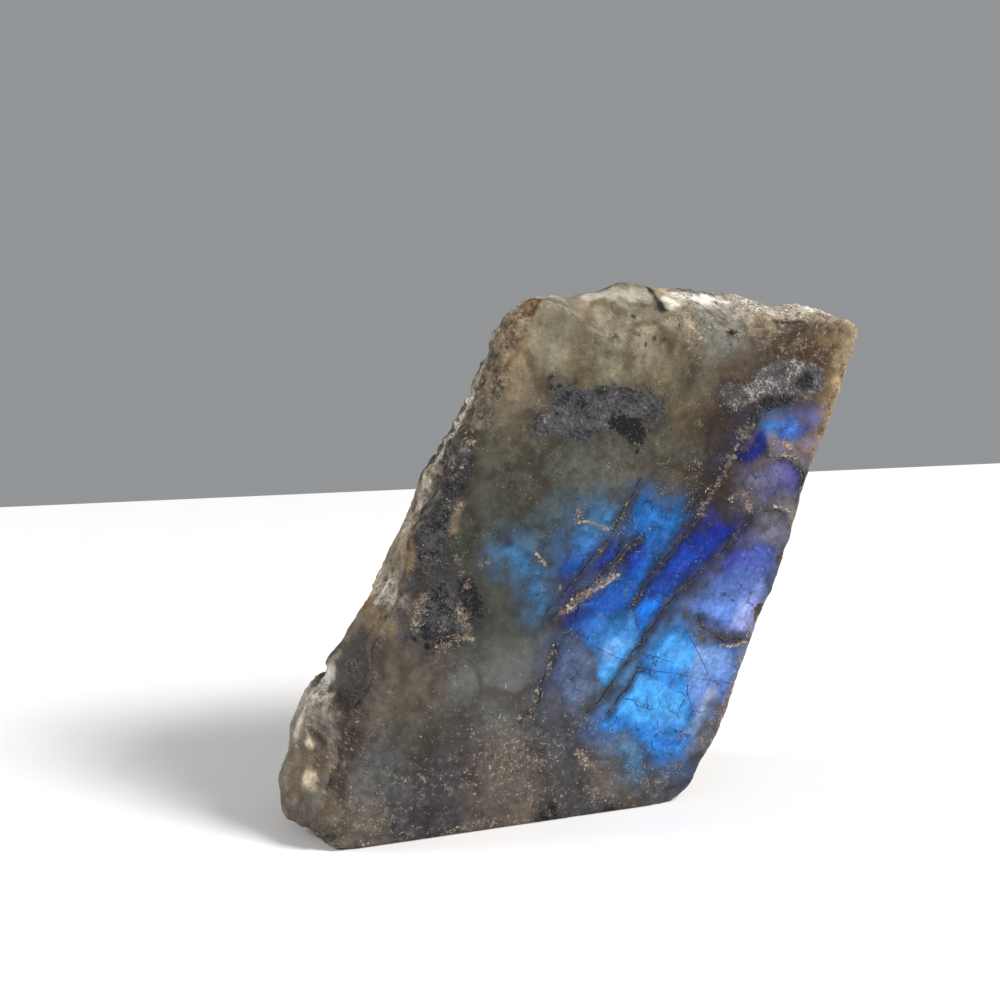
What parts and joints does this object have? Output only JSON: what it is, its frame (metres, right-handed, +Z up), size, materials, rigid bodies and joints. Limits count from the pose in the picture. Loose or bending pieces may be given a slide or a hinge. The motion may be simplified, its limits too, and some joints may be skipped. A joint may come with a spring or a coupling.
{
  "type": "rough labradorite chunk",
  "caption": "Broken slab of rough labradorite with one flat ground face showing blue schiller, standing on its base",
  "frame": {"origin": "on the ground plane, under the middle of the stone's bounding box", "axes": "+X along the base of the ground face, +Y from the ground face to the broken back, which is the slab's thickness, +Z up"},
  "size_m": [0.0684, 0.0198, 0.0594],
  "materials": {
    "labradorite": "grey-olive feldspar with blue and violet schiller patches, satin ground face and rough broken sides"
  },
  "bodies": {
    "root": {"labradorite_chunk": "labradorite"}
  },
  "joints": []
}
